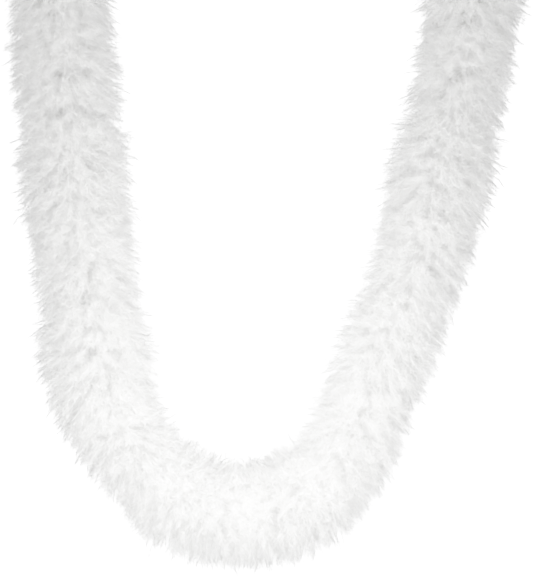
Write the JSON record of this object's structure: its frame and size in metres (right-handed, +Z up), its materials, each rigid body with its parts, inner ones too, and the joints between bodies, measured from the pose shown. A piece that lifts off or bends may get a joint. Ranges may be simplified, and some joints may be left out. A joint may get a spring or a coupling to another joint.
{
  "type": "feather boa",
  "caption": "Fluffy white down boa in a loose U: a limp cotton cord with bound tufts of marabou-type down, whipped and knotted at both ends.",
  "frame": {"origin": "centre of the boa's bounding box, on the surface that it lies on", "axes": "+Z up from the surface, +Y from the bend of the U towards the two ends, +X from the left arm to the right arm"},
  "size_m": [0.4968, 0.8962, 0.094],
  "materials": {
    "down": "soft white down, matte",
    "cotton_cord": "twisted natural cotton, matte",
    "binding_thread": "spun white thread, slight sheen"
  },
  "bodies": {
    "root": {"core_cord": "cotton_cord", "down_tuft_01": "down", "tuft_binding_01": "binding_thread", "down_tuft_02": "down", "tuft_binding_02": "binding_thread", "down_tuft_03": "down", "tuft_binding_03": "binding_thread", "down_tuft_04": "down", "tuft_binding_04": "binding_thread", "down_tuft_05": "down", "tuft_binding_05": "binding_thread", "down_tuft_06": "down", "tuft_binding_06": "binding_thread", "down_tuft_07": "down", "tuft_binding_07": "binding_thread", "down_tuft_08": "down", "tuft_binding_08": "binding_thread", "down_tuft_09": "down", "tuft_binding_09": "binding_thread", "down_tuft_10": "down", "tuft_binding_10": "binding_thread", "down_tuft_11": "down", "tuft_binding_11": "binding_thread", "down_tuft_12": "down", "tuft_binding_12": "binding_thread", "down_tuft_13": "down", "tuft_binding_13": "binding_thread", "down_tuft_14": "down", "tuft_binding_14": "binding_thread", "down_tuft_15": "down", "tuft_binding_15": "binding_thread", "down_tuft_16": "down", "tuft_binding_16": "binding_thread", "down_tuft_17": "down", "tuft_binding_17": "binding_thread", "down_tuft_18": "down", "tuft_binding_18": "binding_thread", "down_tuft_19": "down", "tuft_binding_19": "binding_thread", "down_tuft_20": "down", "tuft_binding_20": "binding_thread", "down_tuft_21": "down", "tuft_binding_21": "binding_thread", "down_tuft_22": "down", "tuft_binding_22": "binding_thread", "end_knot_left": "cotton_cord", "end_whipping_left": "binding_thread", "end_knot_right": "cotton_cord", "end_whipping_right": "binding_thread"}
  },
  "joints": []
}
